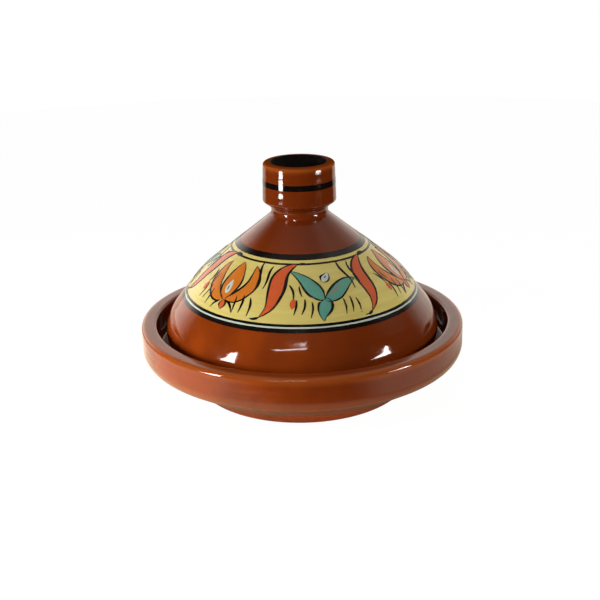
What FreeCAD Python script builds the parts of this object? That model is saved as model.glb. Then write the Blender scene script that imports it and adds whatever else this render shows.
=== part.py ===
import FreeCAD, Part
import os
import Sketcher

# Tagine pot: a glazed clay dish on a low foot, and a loose conical lid with a cup-shaped knob.
# Millimetres. The pot's axis is Z and its foot stands on Z = 0. Each piece is thrown on a wheel,
# so each is one outline turned about the axis, with its corners rounded afterwards.

# Driving dimensions: name, millimetres, what it measures
SIZES = (
    ("dish_diameter", 300.0, "across the outside of the rim"),
    ("dish_height", 67.5, "from the ground to the top of the rim"),
    ("rim_width", 14.3, "top of the rim, from its outside to the mouth"),
    ("rim_outer_round", 4.0, "rounding of the rim's outer edge"),
    ("rim_inner_round", 2.5, "rounding of the rim's edge at the mouth"),
    ("band_height", 27.2, "upright side of the dish, below the rim's top"),
    ("band_round", 5.5, "rounding where the upright side turns under"),
    ("gallery_depth", 26.0, "from the rim's top down to the ledge that carries the lid"),
    ("gallery_round", 4.0, "hollow corner between the ledge and the mouth's wall"),
    ("ledge_lap", 2.5, "how far the ledge reaches in past the lid's wall"),
    ("ledge_round", 3.0, "rounding of the ledge's inner edge"),
    ("bowl_round", 24.0, "hollow corner between the bowl's wall and its floor"),
    ("floor_thickness", 9.0, "clay under the bowl's floor"),
    ("foot_inset", 54.9, "how far the foot's lower edge lies inside the rim's outside"),
    ("foot_height", 11.6, "from the ground to the waist above the foot"),
    ("foot_spread", 10.7, "how far the foot's side leans out up to the waist"),
    ("foot_round", 16.0, "rounding of the foot's lower edge"),
    ("waist_round", 8.0, "hollow between the foot and the underside"),
    ("foot_ring_width", 24.0, "from the foot's lower edge in to the recess"),
    ("foot_recess", 2.0, "depth of the recess inside the foot ring"),
    ("foot_ring_round", 0.8, "rounding at the edges of the recess"),
    ("lid_gap", 8.7, "between the lid's side and the mouth's wall"),
    ("lid_wall", 8.5, "thickness of the lid"),
    ("lid_edge_tuck", 4.0, "how far the lid's lower edge turns in"),
    ("lid_edge_height", 12.0, "height of the part that turns in"),
    ("lid_edge_round", 14.0, "rounding above the part that turns in"),
    ("lid_rest_round", 2.0, "rounding of the face that the lid rests on"),
    ("lid_shoulder_rise", 30.1, "from the ledge to the lid's shoulder"),
    ("lid_shoulder_round", 32.0, "rounding of the shoulder, outside"),
    ("lid_bend_reach", 53.7, "from the shoulder up to the bend in the cone"),
    ("lid_bend_bulge", 6.9, "how far the bend stands out from a straight cone"),
    ("lid_bend_round", 90.0, "rounding of the bend, outside"),
    ("lid_cone_rise", 125.0, "from the ledge to the top of the cone"),
    ("lid_crown_thickness", 9.0, "clay that closes the top of the cone"),
    ("lid_crown_round", 10.0, "hollow corner under the top of the cone"),
    ("seam_step", 1.6, "how far the cone's top stands out around the neck"),
    ("seam_round", 1.2, "rounding of that step"),
    ("neck_diameter", 52.2, "across the knob's neck"),
    ("neck_height", 7.2, "from the cone's top to the underside of the cup"),
    ("neck_round", 3.0, "hollow where the neck meets the cup"),
    ("knob_diameter", 67.6, "across the outside of the cup"),
    ("knob_height", 48.7, "from the cone's top to the cup's lip"),
    ("knob_flare_height", 5.8, "height over which the cup's underside spreads"),
    ("knob_round", 2.5, "rounding where the cup's underside meets its side"),
    ("knob_wall", 8.3, "thickness of the cup at its mouth"),
    ("cup_floor", 10.0, "clay between the cone's top and the cup's floor"),
    ("cup_taper", 3.0, "how far the cup's wall comes in down to its floor"),
    ("cup_round", 8.0, "hollow corner between the cup's wall and its floor"),
    ("lip_bevel", 3.6, "slope on the lip's outer edge, both ways"),
    ("lip_round", 1.6, "rounding of the lip's edges"),
)

# Sizes that follow from the driving ones, as expressions
DISH_RADIUS = "Sizes.dish_diameter / 2"
MOUTH_RADIUS = f"({DISH_RADIUS} - Sizes.rim_width)"
LEDGE_Z = "(Sizes.dish_height - Sizes.gallery_depth)"
LID_RADIUS = f"({MOUTH_RADIUS} - Sizes.lid_gap)"
LID_EDGE_RADIUS = f"({LID_RADIUS} - Sizes.lid_edge_tuck)"
LEDGE_RADIUS = f"({LID_EDGE_RADIUS} - Sizes.lid_wall - Sizes.ledge_lap)"
FLOOR_Z = "Sizes.foot_recess + Sizes.floor_thickness"
FOOT_RADIUS = f"({DISH_RADIUS} - Sizes.foot_inset)"
RING_RADIUS = f"{FOOT_RADIUS} - Sizes.foot_ring_width"
CONE_TOP_Z = f"({LEDGE_Z} + Sizes.lid_cone_rise)"
CROWN_Z = f"{CONE_TOP_Z} - Sizes.lid_crown_thickness"
NECK_RADIUS = "Sizes.neck_diameter / 2"
KNOB_RADIUS = "Sizes.knob_diameter / 2"
CUP_RADIUS = f"({KNOB_RADIUS} - Sizes.knob_wall)"
KNOB_TOP_Z = f"({CONE_TOP_Z} + Sizes.knob_height)"
CUP_FLOOR_Z = f"{CONE_TOP_Z} + Sizes.cup_floor"
NECK_TOP_Z = f"({CONE_TOP_Z} + Sizes.neck_height)"

ZERO = "0"
START = 1
END = 2
ORIGIN = (-1, 1)
AXIS_OF = {"DistanceX": -2, "DistanceY": -1}
MATCH = 1e-4


class Corner:
    """One corner of an outline: its distance from the axis, its height and its rounding.

    A coordinate that isn't in held is only a starting place, and the outline's own rules settle it.
    """

    def __init__(self, radius, height, rounding=None, held=("DistanceX", "DistanceY")):
        self.places = {"DistanceX": radius, "DistanceY": height}
        self.rounding = rounding
        self.held = held


def make_sheet(doc):
    """Write the driving dimensions into a sheet, one named cell each."""
    sheet = doc.addObject("Spreadsheet::Sheet", "Sizes")
    for row, (alias, value, meaning) in enumerate(SIZES, 1):
        sheet.set(f"A{row}", alias)
        sheet.set(f"B{row}", str(value))
        sheet.setAlias(f"B{row}", alias)
        sheet.set(f"C{row}", meaning)
    doc.recompute()
    return sheet


def make_body(doc, name):
    body = doc.addObject("PartDesign::Body", name)
    body.Label = name
    return body


def bind(sketch, constraint, expression):
    """Add a measured constraint and tie it to an expression."""
    index = sketch.addConstraint(constraint)
    name = f"size_{index}"
    sketch.renameConstraint(index, name)
    sketch.setExpression(f"Constraints.{name}", expression)


def draw_outline(body, corners):
    """Draw a closed outline in the XZ plane, with one straight side from each corner to the next."""
    sketch = body.newObject("Sketcher::SketchObject", f"{body.Name}_outline")
    plane = next(item for item in body.Origin.OriginFeatures if item.Role == "XZ_Plane")
    sketch.AttachmentSupport = [(plane, "")]
    sketch.MapMode = "FlatFace"
    places = []
    for corner in corners:
        values = [float(sketch.evalExpression(place)) for place in corner.places.values()]
        places.append(FreeCAD.Vector(*values, 0))
    for start, end in zip(places, places[1:] + places[:1]):
        sketch.addGeometry(Part.LineSegment(start, end), False)
    for side in range(len(corners)):
        following = (side + 1) % len(corners)
        sketch.addConstraint(Sketcher.Constraint("Coincident", side, END, following, START))
    for side, corner in enumerate(corners):
        for direction in corner.held:
            place = corner.places[direction]
            if place == ZERO:
                on_axis = Sketcher.Constraint("PointOnObject", side, START, AXIS_OF[direction])
                sketch.addConstraint(on_axis)
                continue
            value = float(sketch.evalExpression(place))
            bind(sketch, Sketcher.Constraint(direction, *ORIGIN, side, START, value), place)
    return sketch


def keep_distance(sketch, corner, other, size):
    """Hold a corner at a distance from a side, or from the other corner of a pair."""
    value = float(sketch.evalExpression(size))
    bind(sketch, Sketcher.Constraint("Distance", corner, START, *other, value), size)


def keep_wall(sketch, inner_side, outer_side, inner_corner, thickness):
    """Hold an inner side parallel to an outer one, a wall's thickness away from it."""
    sketch.addConstraint(Sketcher.Constraint("Parallel", inner_side, outer_side))
    keep_distance(sketch, inner_corner, [outer_side], thickness)


def keep_bend(sketch, upper, bend, lower):
    """Place the bend by its reach from the corner below and its bulge from a straight side."""
    straight = Part.LineSegment(sketch.getPoint(upper, START), sketch.getPoint(lower, START))
    chord = sketch.addGeometry(straight, True)
    sketch.addConstraint(Sketcher.Constraint("Coincident", chord, START, upper, START))
    sketch.addConstraint(Sketcher.Constraint("Coincident", chord, END, lower, START))
    keep_distance(sketch, bend, [lower, START], "Sizes.lid_bend_reach")
    keep_distance(sketch, bend, [chord], "Sizes.lid_bend_bulge")


def turn(body, sketch):
    """Turn the outline once round the pot's axis."""
    solid = body.newObject("PartDesign::Revolution", f"{body.Name}_turned")
    solid.Profile = sketch
    solid.ReferenceAxis = (sketch, ["V_Axis"])
    solid.Angle = 360
    body.Document.recompute()


def ring_edge(shape, place):
    """Name the circular edge that a corner of the outline has drawn."""
    for number, edge in enumerate(shape.Edges, 1):
        curve = edge.Curve
        if not isinstance(curve, Part.Circle):
            continue
        if abs(curve.Radius - place.x) < MATCH and abs(curve.Center.z - place.y) < MATCH:
            return f"Edge{number}"
    raise ValueError(f"no edge at radius {place.x}, height {place.y}")


def round_corners(body, sketch, corners):
    """Round the corners that have a rounding, with one fillet for each size of rounding."""
    sides_of = {}
    for side, corner in enumerate(corners):
        if corner.rounding:
            sides_of.setdefault(corner.rounding, []).append(side)
    for rounding, sides in sides_of.items():
        base = body.Tip
        edges = [ring_edge(base.Shape, sketch.getPoint(side, START)) for side in sides]
        fillet = body.newObject("PartDesign::Fillet", f"{body.Name}_round")
        fillet.Base = (base, edges)
        fillet.setExpression("Radius", rounding)
        body.Document.recompute()


def make_dish(doc):
    """Dish: foot ring, sloping underside, upright band, rim, gallery for the lid, and bowl."""
    body = make_body(doc, "dish")
    waist_radius = f"{FOOT_RADIUS} + Sizes.foot_spread"
    band_foot_z = "Sizes.dish_height - Sizes.band_height"
    corners = [
        Corner(ZERO, "Sizes.foot_recess"),
        Corner(RING_RADIUS, "Sizes.foot_recess", "Sizes.foot_ring_round"),
        Corner(RING_RADIUS, ZERO, "Sizes.foot_ring_round"),
        Corner(FOOT_RADIUS, ZERO, "Sizes.foot_round"),
        Corner(waist_radius, "Sizes.foot_height", "Sizes.waist_round"),
        Corner(DISH_RADIUS, band_foot_z, "Sizes.band_round"),
        Corner(DISH_RADIUS, "Sizes.dish_height", "Sizes.rim_outer_round"),
        Corner(MOUTH_RADIUS, "Sizes.dish_height", "Sizes.rim_inner_round"),
        Corner(MOUTH_RADIUS, LEDGE_Z, "Sizes.gallery_round"),
        Corner(LEDGE_RADIUS, LEDGE_Z, "Sizes.ledge_round"),
        Corner(FOOT_RADIUS, FLOOR_Z, "Sizes.bowl_round"),
        Corner(ZERO, FLOOR_Z),
    ]
    sketch = draw_outline(body, corners)
    turn(body, sketch)
    round_corners(body, sketch, corners)
    return body


def make_lid_cone(doc):
    """Lid: an even wall that rests on the dish's ledge, swells to a shoulder and rises to a cone."""
    body = make_body(doc, "lid_cone")
    wall = "Sizes.lid_wall"
    tuck_z = f"{LEDGE_Z} + Sizes.lid_edge_height"
    shoulder_z = f"{LEDGE_Z} + Sizes.lid_shoulder_rise"
    reach = "Sizes.lid_bend_reach"
    inner_radius = f"{LID_RADIUS} - {wall}"
    seam_radius = f"{NECK_RADIUS} + Sizes.seam_step"
    inner_shoulder_round = f"Sizes.lid_shoulder_round - {wall}"
    inner_bend_round = f"Sizes.lid_bend_round - {wall}"
    corners = [
        Corner(ZERO, CROWN_Z),
        Corner(ZERO, CONE_TOP_Z),
        Corner(seam_radius, CONE_TOP_Z, "Sizes.seam_round"),
        Corner(f"{LID_RADIUS} - {reach} / 2", f"{shoulder_z} + {reach}", "Sizes.lid_bend_round", []),
        Corner(LID_RADIUS, shoulder_z, "Sizes.lid_shoulder_round"),
        Corner(LID_RADIUS, tuck_z, "Sizes.lid_edge_round"),
        Corner(LID_EDGE_RADIUS, LEDGE_Z, "Sizes.lid_rest_round"),
        Corner(f"{LID_EDGE_RADIUS} - {wall}", LEDGE_Z, "Sizes.lid_rest_round"),
        Corner(inner_radius, tuck_z, "Sizes.lid_edge_round"),
        Corner(inner_radius, f"{shoulder_z} - {wall} / 2", inner_shoulder_round, ["DistanceX"]),
        Corner(f"{inner_radius} - {reach}", f"{shoulder_z} + {reach} / 2", inner_bend_round, []),
        Corner(NECK_RADIUS, CROWN_Z, "Sizes.lid_crown_round", ["DistanceY"]),
    ]
    seam, bend, shoulder, inner_shoulder, inner_bend = 2, 3, 4, 9, 10
    outer_cone, outer_shoulder, inner_cone = seam, bend, inner_bend
    sketch = draw_outline(body, corners)
    keep_bend(sketch, seam, bend, shoulder)
    keep_wall(sketch, inner_cone, outer_cone, inner_bend, wall)
    keep_wall(sketch, inner_shoulder, outer_shoulder, inner_bend, wall)
    turn(body, sketch)
    round_corners(body, sketch, corners)
    return body


def make_lid_knob(doc):
    """Knob: a neck that sits on the cone's flat top, and an open cup to hold the lid by."""
    body = make_body(doc, "lid_knob")
    flare_z = f"{NECK_TOP_Z} + Sizes.knob_flare_height"
    cup_floor_radius = f"{CUP_RADIUS} - Sizes.cup_taper"
    bevel_radius = f"{KNOB_RADIUS} - Sizes.lip_bevel"
    bevel_z = f"{KNOB_TOP_Z} - Sizes.lip_bevel"
    corners = [
        Corner(ZERO, CUP_FLOOR_Z),
        Corner(ZERO, CONE_TOP_Z),
        Corner(NECK_RADIUS, CONE_TOP_Z),
        Corner(NECK_RADIUS, NECK_TOP_Z, "Sizes.neck_round"),
        Corner(KNOB_RADIUS, flare_z, "Sizes.knob_round"),
        Corner(KNOB_RADIUS, bevel_z, "Sizes.lip_round"),
        Corner(bevel_radius, KNOB_TOP_Z, "Sizes.lip_round"),
        Corner(CUP_RADIUS, KNOB_TOP_Z, "Sizes.lip_round"),
        Corner(cup_floor_radius, CUP_FLOOR_Z, "Sizes.cup_round"),
    ]
    sketch = draw_outline(body, corners)
    turn(body, sketch)
    round_corners(body, sketch, corners)
    return body


def check(doc, bodies):
    """Stop if any object failed to build or any piece isn't one sound solid."""
    for item in doc.Objects:
        if {"Invalid", "Error"} & set(item.State):
            raise RuntimeError(f"{item.Label} failed to build")
    for body in bodies:
        shape = body.Shape
        if shape.isNull() or not shape.isValid() or len(shape.Solids) != 1:
            raise RuntimeError(f"{body.Label} isn't one sound solid")


def main():
    doc = FreeCAD.newDocument("tagine_pot")
    make_sheet(doc)
    bodies = [make_dish(doc), make_lid_cone(doc), make_lid_knob(doc)]
    doc.recompute()
    check(doc, bodies)
    os.makedirs("parts", exist_ok=True)
    for body in bodies:
        body.Shape.exportStep(f"parts/{body.Label}.step")
        box = body.Shape.BoundBox
        print(body.Label, f"{body.Shape.Volume:.0f} mm3, from z {box.ZMin:.2f} to {box.ZMax:.2f}")


main()
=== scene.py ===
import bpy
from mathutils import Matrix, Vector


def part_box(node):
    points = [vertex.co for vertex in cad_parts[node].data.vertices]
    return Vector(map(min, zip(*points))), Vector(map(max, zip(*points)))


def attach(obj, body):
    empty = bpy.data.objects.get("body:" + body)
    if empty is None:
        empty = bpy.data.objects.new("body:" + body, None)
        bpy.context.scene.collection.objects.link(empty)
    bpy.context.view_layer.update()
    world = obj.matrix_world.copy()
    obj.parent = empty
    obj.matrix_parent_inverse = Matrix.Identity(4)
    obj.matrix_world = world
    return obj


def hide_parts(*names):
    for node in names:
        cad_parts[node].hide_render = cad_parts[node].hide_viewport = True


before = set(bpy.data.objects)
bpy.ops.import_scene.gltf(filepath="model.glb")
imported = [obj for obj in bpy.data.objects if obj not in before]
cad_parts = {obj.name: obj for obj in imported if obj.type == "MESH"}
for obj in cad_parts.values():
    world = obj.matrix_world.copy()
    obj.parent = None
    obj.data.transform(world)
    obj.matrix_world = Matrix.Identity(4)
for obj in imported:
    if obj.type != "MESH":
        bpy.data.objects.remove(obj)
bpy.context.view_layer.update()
DISH_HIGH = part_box("dish")[1]
CONE_LOW, CONE_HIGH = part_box("lid_cone")
KNOB_LOW, KNOB_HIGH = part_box("lid_knob")

import math
import random
from collections import namedtuple

import bmesh
import bpy
from bpy.props import FloatProperty, FloatVectorProperty, IntProperty, PointerProperty
from mathutils import Matrix, Vector, noise

bl_info = {
    "name": "Tagine pot",
    "version": (1, 0, 0),
    "blender": (4, 5, 0),
    "location": "3D View > Sidebar > Tagine",
    "description": "Glazed clay tagine pot with a painted lid, and a small studio to show it in",
    "category": "Add Mesh",
}

# Metres throughout. The pot's axis is Z, its foot stands on Z = 0, and the front looks along -Y.
MM = 0.001

# How finely the turned pieces are drawn
TURN_STEPS = 192
SIDE_STEP = 2.0 * MM
ARC_STEP = 0.9 * MM
LEAST_ARC_STEPS = 5
WELD = 0.001 * MM
SAME_PLACE = 0.01 * MM
SMOOTH_BELOW = math.radians(40)

# What throwing by hand leaves in the walls
OUT_OF_ROUND = 0.5 * MM
SLOW_WAVE = 70 * MM
FINGER_DEPTH = 0.07 * MM
FINGER_SPACING = 10 * MM
FINGER_DRIFT = 0.8
AXIS_CALM = 20 * MM

# How skins are cut and thickened. An offset of 1 is wholly outward and -1 wholly inward: most of a coat
# of slip stands out of the clay, and a wiped skin lies in it.
CUT_MARGIN = 1 * MM
COAT_OUTWARD = 0.6
WIPED_INWARD = -1

# Sets noises far apart, so that what they move wanders by itself
NOISE_APART = 9

# Holds how near a vertex is to an edge where the glaze runs thin
THIN_GLAZE = "thin_glaze"


def linear(code):
    """Turn an sRGB hex colour into the linear values that Blender works with."""
    shares = [int(code[place:place + 2], 16) / 255 for place in (0, 2, 4)]
    return [share / 12.92 if share <= 0.04045 else ((share + 0.055) / 1.055) ** 2.4 for share in shares]


def length(name, description, default):
    """A size in metres that a user can change."""
    return FloatProperty(name=name, description=description, default=default, unit="LENGTH", precision=5)


def angle(name, description, degrees):
    """An angle that a user can change."""
    return FloatProperty(name=name, description=description, default=math.radians(degrees), subtype="ANGLE")


def colour(name, description, code):
    """A colour that a user can change."""
    return FloatVectorProperty(
        name=name, description=description, default=linear(code), subtype="COLOR", min=0, max=1
    )


def power(name, description, watts):
    """The power of a lamp that a user can change."""
    return FloatProperty(name=name, description=description, default=watts, unit="POWER", min=0)


class DishSizes(bpy.types.PropertyGroup):
    """Sizes of the dish that the lid sits in."""

    radius: length("Radius", "Half of the width across the rim", DISH_HIGH.x)
    height: length("Height", "From the ground to the top of the rim", DISH_HIGH.z)
    ledge: length("Ledge height", "From the ground to the ledge that carries the lid", CONE_LOW.z)
    rim_width: length("Rim width", "Top of the rim, from its outside to the mouth", 14.3 * MM)
    rim_outer_round: length("Rim outer rounding", "Rounding of the rim's outer edge", 4 * MM)
    rim_inner_round: length("Rim inner rounding", "Rounding of the rim's edge at the mouth", 2.5 * MM)
    band_height: length("Band height", "Upright side of the dish, below the rim's top", 28.4 * MM)
    band_round: length("Band rounding", "Rounding where the upright side turns under", 13 * MM)
    gallery_round: length("Gallery rounding", "Hollow corner between the ledge and the wall", 4 * MM)
    ledge_width: length("Ledge width", "From the mouth's wall to the ledge's inner edge", 23.7 * MM)
    ledge_round: length("Ledge rounding", "Rounding of the ledge's inner edge", 3 * MM)
    bowl_round: length("Bowl rounding", "Hollow corner between the bowl's wall and floor", 24 * MM)
    floor_height: length("Floor height", "From the ground to the bowl's floor", 11 * MM)
    foot_inset: length("Foot inset", "How far the foot lies inside the rim's outside", 54.9 * MM)
    foot_height: length("Foot height", "From the ground to the waist above the foot", 11.6 * MM)
    foot_spread: length("Foot spread", "How far the foot leans out up to the waist", 10.7 * MM)
    foot_round: length("Foot rounding", "Rounding of the foot's lower edge", 16 * MM)
    waist_round: length("Waist rounding", "Hollow between the foot and the underside", 8 * MM)
    ring_width: length("Foot ring width", "From the foot's lower edge in to the recess", 24 * MM)
    recess: length("Recess", "Depth of the recess inside the foot ring", 2 * MM)
    ring_round: length("Ring rounding", "Rounding at the edges of the recess", 0.8 * MM)
    wiped_height: length("Wiped height", "How high the foot was wiped clean of glaze", 0.5 * MM)


class LidSizes(bpy.types.PropertyGroup):
    """Sizes of the conical lid."""

    radius: length("Radius", "Half of the width across the lid's side", CONE_HIGH.x)
    foot: length("Foot height", "From the ground to the face that the lid rests on", CONE_LOW.z)
    top: length("Top height", "From the ground to the top of the cone", CONE_HIGH.z)
    wall: length("Wall", "Thickness of the lid", 8.5 * MM)
    edge_tuck: length("Edge tuck", "How far the lower edge turns in", 4 * MM)
    edge_height: length("Edge height", "Height of the part that turns in", 12 * MM)
    edge_round: length("Edge rounding", "Rounding above the part that turns in", 14 * MM)
    rest_round: length("Rest rounding", "Rounding of the face that the lid rests on", 2 * MM)
    shoulder_rise: length("Shoulder rise", "From the resting face to the shoulder", 30.1 * MM)
    shoulder_round: length("Shoulder rounding", "Rounding of the shoulder, outside", 42 * MM)
    bend_reach: length("Bend reach", "From the shoulder up to the bend in the cone", 53.7 * MM)
    bend_bulge: length("Bend bulge", "How far the bend stands out from a straight cone", 6.9 * MM)
    bend_round: length("Bend rounding", "Rounding of the bend, outside", 90 * MM)
    crown: length("Crown", "Clay that closes the top of the cone", 9 * MM)
    crown_round: length("Crown rounding", "Hollow corner under the top of the cone", 10 * MM)
    seam_radius: length("Seam radius", "Flat top of the cone, around the knob's neck", 27.7 * MM)
    seam_round: length("Seam rounding", "Rounding of the flat top's edge", 1.2 * MM)


class KnobSizes(bpy.types.PropertyGroup):
    """Sizes of the cup-shaped knob."""

    radius: length("Radius", "Half of the width across the cup", KNOB_HIGH.x)
    foot: length("Foot height", "From the ground to the foot of the neck", KNOB_LOW.z)
    top: length("Top height", "From the ground to the cup's lip", KNOB_HIGH.z)
    neck_radius: length("Neck radius", "Half of the width across the neck", 26.1 * MM)
    neck_height: length("Neck height", "From the cone to the underside of the cup", 7.2 * MM)
    neck_round: length("Neck rounding", "Hollow above and below the neck", 5.8 * MM)
    flare_height: length("Flare height", "Height over which the underside spreads", 5.8 * MM)
    flare_round: length("Flare rounding", "Rounding between the underside and the side", 2.5 * MM)
    wall: length("Wall", "Thickness of the cup at its mouth", 8.3 * MM)
    cup_floor: length("Cup floor", "Clay under the cup's floor", 10 * MM)
    cup_taper: length("Cup taper", "How far the cup's wall comes in down to its floor", 3 * MM)
    cup_round: length("Cup rounding", "Hollow corner at the cup's floor", 8 * MM)
    lip_width: length("Lip width", "How far the lip's top edge lies outside the cup's mouth", 0.6 * MM)
    lip_rise: length("Lip rise", "How far the lip's slope rises to the cup", 1.2 * MM)
    lip_round: length("Lip rounding", "Rounding of the lip's outer edge", 2.2 * MM)
    mouth_round: length("Mouth rounding", "Rounding of the lip's edge at the cup", 0.9 * MM)
    neck_flare: length("Neck flare", "How far the neck spreads at its foot", 1.4 * MM)
    neck_spread: length("Neck spread", "Height over which the neck spreads at its foot", 2.6 * MM)
    stripe_low: length("Stripe low", "Lower edge of the black stripe", 194.6 * MM)
    stripe_high: length("Stripe high", "Upper edge of the black stripe", 199.7 * MM)
    side_lean: length("Side lean", "How far the side leans in from the flare up to the lip", 1.2 * MM)
    # The dull black inside the cup starts this far below the lip.
    cup_black_drop: length("Cup slip drop", "From the lip down to the edge of the black inside", 0.4 * MM)


class BandSizes(bpy.types.PropertyGroup):
    """Heights above the ground of the bands painted round the lid, and how their slip lies."""

    black_top: length("Black top", "Upper edge of the upper black band", 144.2 * MM)
    field_top: length("Field top", "Upper edge of the yellow field", 140.4 * MM)
    rule_top: length("Rule top", "Upper edge of the thin black line", 138.3 * MM)
    rule_low: length("Rule low", "Lower edge of the thin black line", 137.2 * MM)
    field_low: length("Field low", "Lower edge of the yellow field", 98.3 * MM)
    pale_top: length("Pale top", "Upper edge of the pale line", 96.5 * MM)
    pale_low: length("Pale low", "Lower edge of the pale line", 95.4 * MM)
    black_low: length("Black low", "Lower edge of the lower black band", 92.2 * MM)
    field_under: length("Field under", "How far the yellow slip reaches under the black bands", 1 * MM)
    field_coat: length("Field coat", "Thickness of the yellow slip", 0.10 * MM)
    band_coat: length("Band coat", "Thickness of the black slip", 0.16 * MM)
    line_coat: length("Line coat", "Thickness of the pale line", 0.22 * MM)
    hand_sway: length("Hand sway", "How far a painted edge wanders", 0.35 * MM)
    sway_reach: length("Sway reach", "Distance over which a painted edge wanders", 24 * MM)


class PaintSizes(bpy.types.PropertyGroup):
    """How the figures are painted on the lid's yellow field."""

    figures: IntProperty(name="Figures", description="Flowers and leaf sprays round the lid", default=6)
    start: angle("Start", "Where the first figure stands, from the front", 14)
    fill_coat: length("Fill coat", "Thickness of the coloured slips", 0.24 * MM)
    heart_coat: length("Heart coat", "Thickness of the pale hearts", 0.34 * MM)
    line_coat: length("Line coat", "Thickness of the black brush lines", 0.42 * MM)
    line_width: length("Line width", "Width of a brush line at its fullest", 2.0 * MM)
    hand_sway: length("Hand sway", "How far a figure's parts wander from their pattern", 1.1 * MM)
    sway_reach: length("Sway reach", "Distance over which they wander", 16 * MM)
    seed: IntProperty(name="Seed", description="Which hand painted the lid", default=7)


class GlazeColours(bpy.types.PropertyGroup):
    """Colours of the glaze, the slips and the clay."""

    brown: colour("Brown glaze", "Amber glaze over red clay", "8f3a0b")
    # The deep brown stands where the glaze pooled, towards the top, and on the right side, where it is
    # painted shade.
    brown_pooled_and_shade: colour("Pooled glaze", "Where the brown glaze is thick", "652608")
    brown_thin: colour("Thin glaze", "Where the brown glaze runs thin over an edge", "9a4a18")
    black: colour("Black slip", "Bands and brush lines", "0e0a08")
    yellow: colour("Yellow slip", "The field round the lid", "d0bf70")
    yellow_thin: colour("Thin yellow slip", "Where the brush left less of it", "c5b15c")
    pale: colour("Pale slip", "Line under the field and hearts of the flowers", "c3cabb")
    red: colour("Red slip", "Long leaves and buds", "d05a2c")
    orange: colour("Orange slip", "Flowers", "cf7424")
    teal: colour("Teal slip", "Leaf sprays", "5c9a86")
    clay: colour("Bare clay", "Where glaze was wiped off", "b0623c")


class StudioSizes(bpy.types.PropertyGroup):
    """Camera, lamps and backdrop."""

    camera_back: length("Camera distance", "From the pot's axis to the camera", 981 * MM)
    camera_height: length("Camera height", "From the ground to the camera", 439.2 * MM)
    camera_side: length("Camera side step", "How far the camera stands to the right", -1.4 * MM)
    aim_height: length("Aim height", "Height on the pot's axis that the camera looks at", 82.2 * MM)
    lens: FloatProperty(
        name="Lens", description="Focal length in millimetres", default=66.98, unit="CAMERA"
    )
    roll: angle("Roll", "How far the camera is turned about its view", -1.2)
    key_power: power("Key power", "Upright softbox on the left", 6.9)
    side_power: power("Side power", "Small lamp on the right", 4.6)
    bar_power: power("Bar power", "Thin lamp above the front", 1.5)


def deselect():
    """Leave edit mode and select nothing."""
    if bpy.context.object and bpy.context.object.mode != "OBJECT":
        bpy.ops.object.mode_set(mode="OBJECT")
    bpy.ops.object.select_all(action="DESELECT")


def activate(piece):
    """Select one piece alone."""
    deselect()
    piece.select_set(True)
    bpy.context.view_layer.objects.active = piece


def edit_select(piece, kind, test):
    """In edit mode, select the vertices, edges or faces of a piece that pass a test."""
    mesh = bmesh.from_edit_mesh(piece.data)
    bpy.ops.mesh.select_mode(type={"verts": "VERT", "edges": "EDGE", "faces": "FACE"}[kind])
    bpy.ops.mesh.select_all(action="DESELECT")
    for part in [part for part in getattr(mesh, kind) if test(part)]:
        part.select_set(True)
    bmesh.update_edit_mesh(piece.data)


def apply_modifier(piece, kind, **settings):
    """Add a modifier to a piece and apply it."""
    activate(piece)
    modifier = piece.modifiers.new(kind.title(), kind)
    for name, value in settings.items():
        setattr(modifier, name, value)
    bpy.ops.object.modifier_apply(modifier=modifier.name)


def copy_piece(piece, name):
    """A copy of a piece with a mesh of its own."""
    copy = piece.copy()
    copy.data = piece.data.copy()
    copy.name = name
    bpy.context.collection.objects.link(copy)
    return copy


def join_pieces(pieces, name):
    """Join several objects into one."""
    deselect()
    for piece in pieces:
        piece.select_set(True)
    bpy.context.view_layer.objects.active = pieces[0]
    bpy.ops.object.join()
    pieces[0].name = name
    return pieces[0]


def finish_piece(piece, material, body, node=None):
    """Smooth a piece, give it its material, and tie it to the body that carries it."""
    activate(piece)
    bpy.ops.object.shade_smooth_by_angle(angle=SMOOTH_BELOW)
    piece.data.materials.clear()
    piece.data.materials.append(material)
    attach(piece, body)
    if node:
        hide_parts(node)


class Corner:
    """A corner of a turned outline, its rounding, and whether the glaze runs thin over it."""

    def __init__(self, radius, height, rounding=0.0, thin=False):
        self.place = Vector((radius, 0, height))
        self.rounding = rounding
        self.thin = thin


def round_corner(piece, before, corner, after):
    """Bevel one corner of an outline into an arc of its rounding."""
    turn = (corner.place - before.place).angle(after.place - corner.place)
    half = turn / 2
    steps = max(LEAST_ARC_STEPS, math.ceil(corner.rounding * turn / ARC_STEP))
    # This bevel profile passes through the middle of a true arc at any angle.
    profile = ((1 + 2 * math.cos(half)) / (2 + 2 * math.cos(half))) ** 2
    edit_select(piece, "verts", lambda vertex: (vertex.co - corner.place).length < SAME_PLACE)
    bpy.ops.mesh.bevel(
        affect="VERTICES", offset_type="OFFSET", offset=corner.rounding * math.tan(half),
        segments=steps, profile=profile, clamp_overlap=False,
    )


def divide_long_sides(piece):
    """Divide the straight sides of an outline into short ones."""
    longest = 2 * SIDE_STEP
    while True:
        mesh = bmesh.from_edit_mesh(piece.data)
        size = max(edge.calc_length() for edge in mesh.edges)
        if size < longest:
            return
        edit_select(piece, "edges", lambda edge: edge.calc_length() > size - SAME_PLACE)
        bpy.ops.mesh.subdivide(number_cuts=round(size / SIDE_STEP) - 1)


def drag_line(name, places):
    """Draw a line in edit mode: shrink a small square to a point, and drag it from place to place."""
    deselect()
    bpy.ops.mesh.primitive_plane_add(size=MM)
    piece = bpy.context.object
    piece.name = name
    bpy.ops.object.mode_set(mode="EDIT")
    bpy.ops.mesh.select_mode(type="VERT")
    bpy.ops.mesh.merge(type="CENTER")
    bpy.ops.transform.translate(value=places[0])
    for start, end in zip(places, places[1:]):
        bpy.ops.mesh.extrude_region_move(TRANSFORM_OT_translate={"value": end - start})
    return piece


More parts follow.
